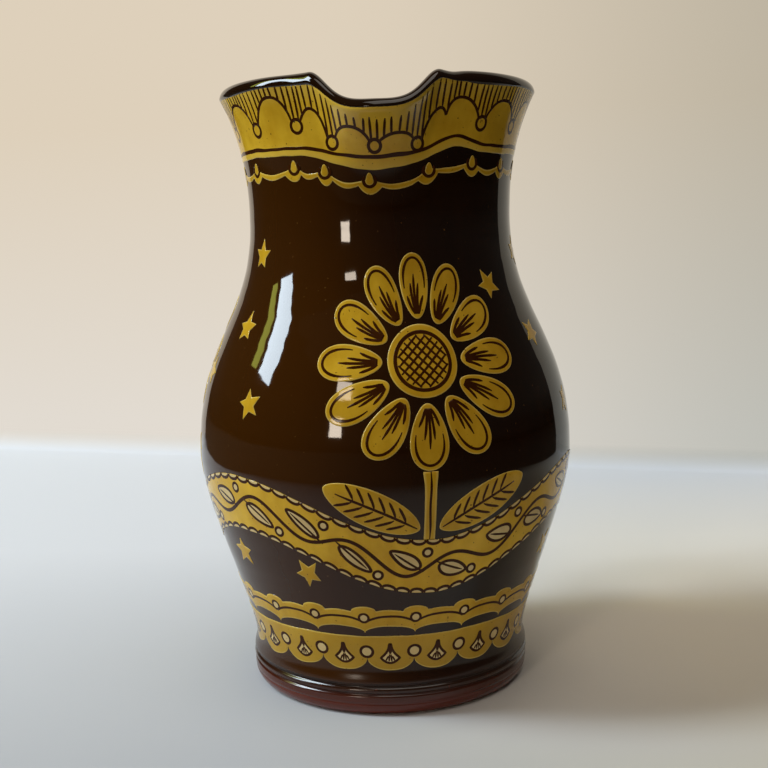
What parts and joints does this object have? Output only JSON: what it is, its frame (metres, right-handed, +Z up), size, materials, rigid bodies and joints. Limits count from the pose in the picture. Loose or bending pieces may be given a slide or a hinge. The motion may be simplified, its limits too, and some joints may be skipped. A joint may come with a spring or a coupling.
{
  "type": "slipware jug",
  "caption": "Round-bellied earthenware jug with a pinched pouring lip, flared collar, strap handle at the back, and raised pale slip ornament over a dark slip coat.",
  "frame": {"origin": "centre of the flat resting face under the foot", "axes": "+Z up the jug's axis to the rim, -Y towards the pouring lip, +Y towards the handle, +X to the right of a viewer who faces the lip"},
  "size_m": [0.112, 0.1398, 0.1751],
  "materials": {
    "red_earthenware": "glazed red-brown earthenware",
    "dark_slip": "gloss",
    "pale_slip": "gloss",
    "liner_glaze": "gloss"
  },
  "bodies": {
    "root": {"thrown_body": "red_earthenware", "handle": "dark_slip", "upper_lute": "dark_slip", "lower_lute": "dark_slip", "dark_slip_coat": "dark_slip", "rim_slip_edge": "dark_slip", "inner_glaze": "liner_glaze", "collar_band": "pale_slip", "collar_lace": "pale_slip", "collar_beads": "pale_slip", "ribbon_band": "pale_slip", "flower_petals": "pale_slip", "flower_eyes": "pale_slip", "flower_stems": "pale_slip", "flower_leaves": "pale_slip", "stars": "pale_slip", "foot_edging": "pale_slip", "foot_band": "pale_slip"}
  },
  "joints": []
}
